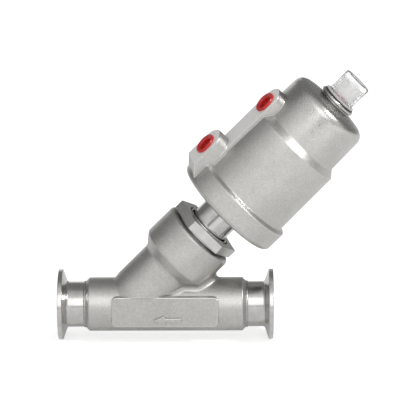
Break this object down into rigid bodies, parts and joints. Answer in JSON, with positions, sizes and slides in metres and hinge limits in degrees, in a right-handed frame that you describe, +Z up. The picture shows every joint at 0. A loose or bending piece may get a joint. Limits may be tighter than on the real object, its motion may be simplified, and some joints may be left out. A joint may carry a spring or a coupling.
{
  "type": "angle seat valve",
  "caption": "Pneumatic angle seat valve with clamp ends, an inclined piston actuator, two side air ports and a clear position indicator.",
  "frame": {"origin": "centre of the outlet ferrule's sealing face, on the pipe axis", "axes": "+X along the pipe from the outlet to the inlet, +Z up, on the side the actuator leans to; the actuator's axis rises at 45 degrees toward +X"},
  "size_m": [0.149, 0.0556, 0.1323],
  "materials": {
    "cast_steel": "investment cast stainless steel, bead blasted satin",
    "polished_steel": "polished stainless steel",
    "machined_steel": "turned stainless steel",
    "aluminium": "turned aluminium",
    "ptfe": "white fluoropolymer",
    "black_rubber": "black elastomer",
    "red_plastic": "moulded red polyethylene",
    "clear_plastic": "clear moulded plastic"
  },
  "bodies": {
    "valve": {"valve_body": "cast_steel", "outlet_ferrule": "polished_steel", "inlet_ferrule": "polished_steel", "bonnet_gasket": "ptfe", "bonnet_nut": "machined_steel"},
    "actuator": {"actuator_housing": "cast_steel", "lower_cover": "machined_steel", "cover_o_ring": "black_rubber", "tube_o_ring": "black_rubber", "bonnet_tube": "polished_steel", "tube_clip": "machined_steel", "lower_guide_bush": "ptfe", "packing_rings": "ptfe", "packing_washer": "machined_steel", "packing_spring": "machined_steel", "gland_bush": "machined_steel", "gland_o_ring": "black_rubber", "spring_seat": "machined_steel", "outer_spring": "machined_steel", "inner_spring": "machined_steel", "cap_gasket": "black_rubber", "indicator_cap": "clear_plastic"},
    "stem": {"stem": "polished_steel", "valve_plug": "machined_steel", "plug_pin": "machined_steel", "seat_disc": "ptfe", "disc_washer": "machined_steel", "disc_nut": "machined_steel", "piston": "aluminium", "piston_seal": "black_rubber", "piston_guide_ring": "ptfe", "piston_washer": "machined_steel", "piston_nut": "machined_steel", "indicator_rod": "machined_steel", "indicator_tip": "red_plastic"},
    "lower_plug": {"lower_port_plug": "red_plastic"},
    "upper_plug": {"upper_port_plug": "red_plastic"}
  },
  "joints": [
    {"name": "actuator_swivel", "type": "hinge", "parent": "valve", "child": "actuator", "pos_m": [0.08115, 0, 0.04745], "axis": [0.7071, 0, 0.7071], "continuous": true},
    {"name": "stem_lift", "type": "slide", "parent": "actuator", "child": "stem", "axis": [0.7071, 0, 0.7071], "range_m": [0, 0.009], "stiffness_N_per_m": 400, "springref_m": -0.02, "deforming": ["outer_spring", "inner_spring"]},
    {"name": "lower_plug_pull", "type": "slide", "parent": "actuator", "child": "lower_plug", "axis": [-0.683, -0.2588, 0.683], "range_m": [0, 0.03]},
    {"name": "upper_plug_pull", "type": "slide", "parent": "actuator", "child": "upper_plug", "axis": [-0.683, -0.2588, 0.683], "range_m": [0, 0.03]}
  ]
}
